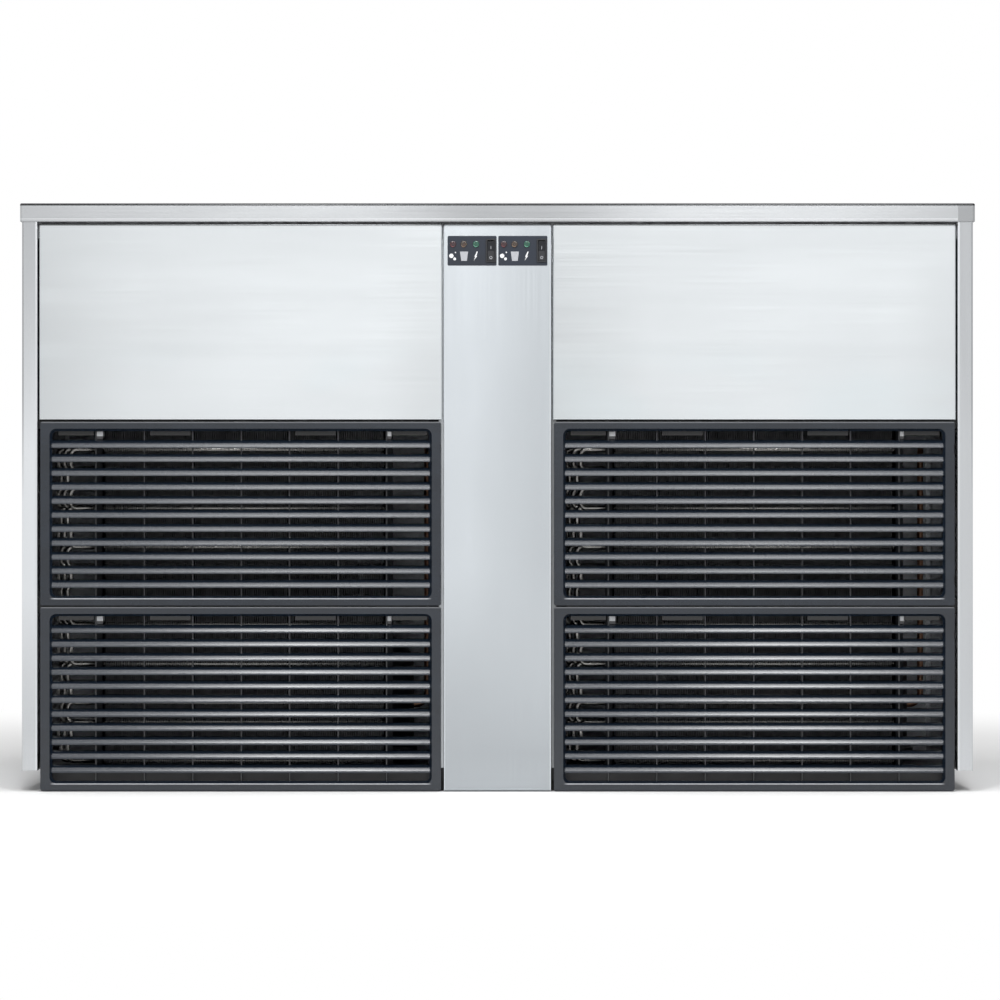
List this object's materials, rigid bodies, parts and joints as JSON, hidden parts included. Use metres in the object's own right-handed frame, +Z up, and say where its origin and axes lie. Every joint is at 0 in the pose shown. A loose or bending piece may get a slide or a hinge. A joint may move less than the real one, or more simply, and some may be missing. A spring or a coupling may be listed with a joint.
{
  "type": "modular ice machine",
  "caption": "Wide modular ice machine head with steel panels, louvred air grilles, control plates, condensers, fans, compressors and ice sections over an open base",
  "frame": {"origin": "centre of the bounding box at the level of the base frame's underside", "axes": "X to the right seen from the front, Y to the back, Z up; the grilles face -Y"},
  "size_m": [1.25, 0.5833, 0.77],
  "materials": {
    "brass": "turned brass",
    "catch_plastic": "white moulded plastic",
    "coil_aluminium": "plain fins and tube",
    "copper": "drawn copper tube",
    "curtain_plastic": "pale translucent plastic",
    "drain_plastic": "pale moulded plastic",
    "evaporator_metal": "tinned metal",
    "fan_plastic": "black moulded plastic",
    "frame_paint": "black paint on steel",
    "galvanised": "dull zinc-coated sheet",
    "grille_plastic": "dark moulded plastic with a soft sheen",
    "lamp_amber": "clear coloured plastic",
    "lamp_green": "clear coloured plastic",
    "lamp_red": "clear coloured plastic",
    "liner_plastic": "pale moulded plastic",
    "motor_paint": "black enamel",
    "plate_plastic": "dark slate plastic",
    "pump_plastic": "dark moulded plastic",
    "screw_steel": "plated steel",
    "stainless": "brushed stainless steel sheet",
    "switch_plastic": "black moulded plastic"
  },
  "bodies": {
    "cabinet": {"amber_lamps": "lamp_amber", "base_frame": "frame_paint", "base_pan": "galvanised", "cable_gland": "pump_plastic", "centre_panel": "stainless", "drain_outlet": "drain_plastic", "electrical_box": "galvanised", "green_lamps": "lamp_green", "grille_catches": "catch_plastic", "left_compressor": "motor_paint", "left_condenser": "coil_aluminium", "left_control_plate": "plate_plastic", "left_discharge_pipe": "copper", "left_evaporator": "evaporator_metal", "left_fan_motor": "motor_paint", "left_fan_shroud": "galvanised", "left_front_panel": "stainless", "left_liner": "liner_plastic", "left_middle_rail": "galvanised", "left_mullion": "galvanised", "left_pump": "pump_plastic", "left_side_panel": "stainless", "left_switch_body": "switch_plastic", "left_upper_rail": "galvanised", "left_water_rail": "pump_plastic", "left_water_trough": "liner_plastic", "lower_left_grille": "grille_plastic", "lower_right_grille": "grille_plastic", "panel_screws": "screw_steel", "rear_panel": "galvanised", "red_lamps": "lamp_red", "right_compressor": "motor_paint", "right_condenser": "coil_aluminium", "right_control_plate": "plate_plastic", "right_discharge_pipe": "copper", "right_evaporator": "evaporator_metal", "right_fan_motor": "motor_paint", "right_fan_shroud": "galvanised", "right_front_panel": "stainless", "right_liner": "liner_plastic", "right_middle_rail": "galvanised", "right_mullion": "galvanised", "right_pump": "pump_plastic", "right_side_panel": "stainless", "right_switch_body": "switch_plastic", "right_upper_rail": "galvanised", "right_water_rail": "pump_plastic", "right_water_trough": "liner_plastic", "top_front_rail": "galvanised", "top_lid": "stainless", "upper_left_grille": "grille_plastic", "upper_right_grille": "grille_plastic", "water_inlet": "brass"},
    "left_rocker": {"left_rocker": "switch_plastic"},
    "right_rocker": {"right_rocker": "switch_plastic"},
    "left_fan": {"left_fan": "fan_plastic"},
    "right_fan": {"right_fan": "fan_plastic"},
    "left_curtain": {"left_curtain": "curtain_plastic"},
    "right_curtain": {"right_curtain": "curtain_plastic"}
  },
  "joints": [
    {"name": "left_rocker_tilt", "type": "hinge", "parent": "cabinet", "child": "left_rocker", "pos_m": [-0.0086, -0.287, 0.7079], "axis": [-1, 0, 0], "range_deg": [0, 14]},
    {"name": "right_rocker_tilt", "type": "hinge", "parent": "cabinet", "child": "right_rocker", "pos_m": [0.0579, -0.287, 0.7079], "axis": [-1, 0, 0], "range_deg": [0, 14]},
    {"name": "left_fan_spin", "type": "hinge", "parent": "cabinet", "child": "left_fan", "pos_m": [-0.33425, -0.157, 0.254], "axis": [0, 1, 0], "continuous": true},
    {"name": "left_curtain_swing", "type": "hinge", "parent": "cabinet", "child": "left_curtain", "pos_m": [-0.33625, 0.172, 0.66], "axis": [-1, 0, 0], "range_deg": [0, 11]},
    {"name": "right_fan_spin", "type": "hinge", "parent": "cabinet", "child": "right_fan", "pos_m": [0.33825, -0.157, 0.254], "axis": [0, 1, 0], "continuous": true},
    {"name": "right_curtain_swing", "type": "hinge", "parent": "cabinet", "child": "right_curtain", "pos_m": [0.33625, 0.172, 0.66], "axis": [-1, 0, 0], "range_deg": [0, 11]}
  ]
}
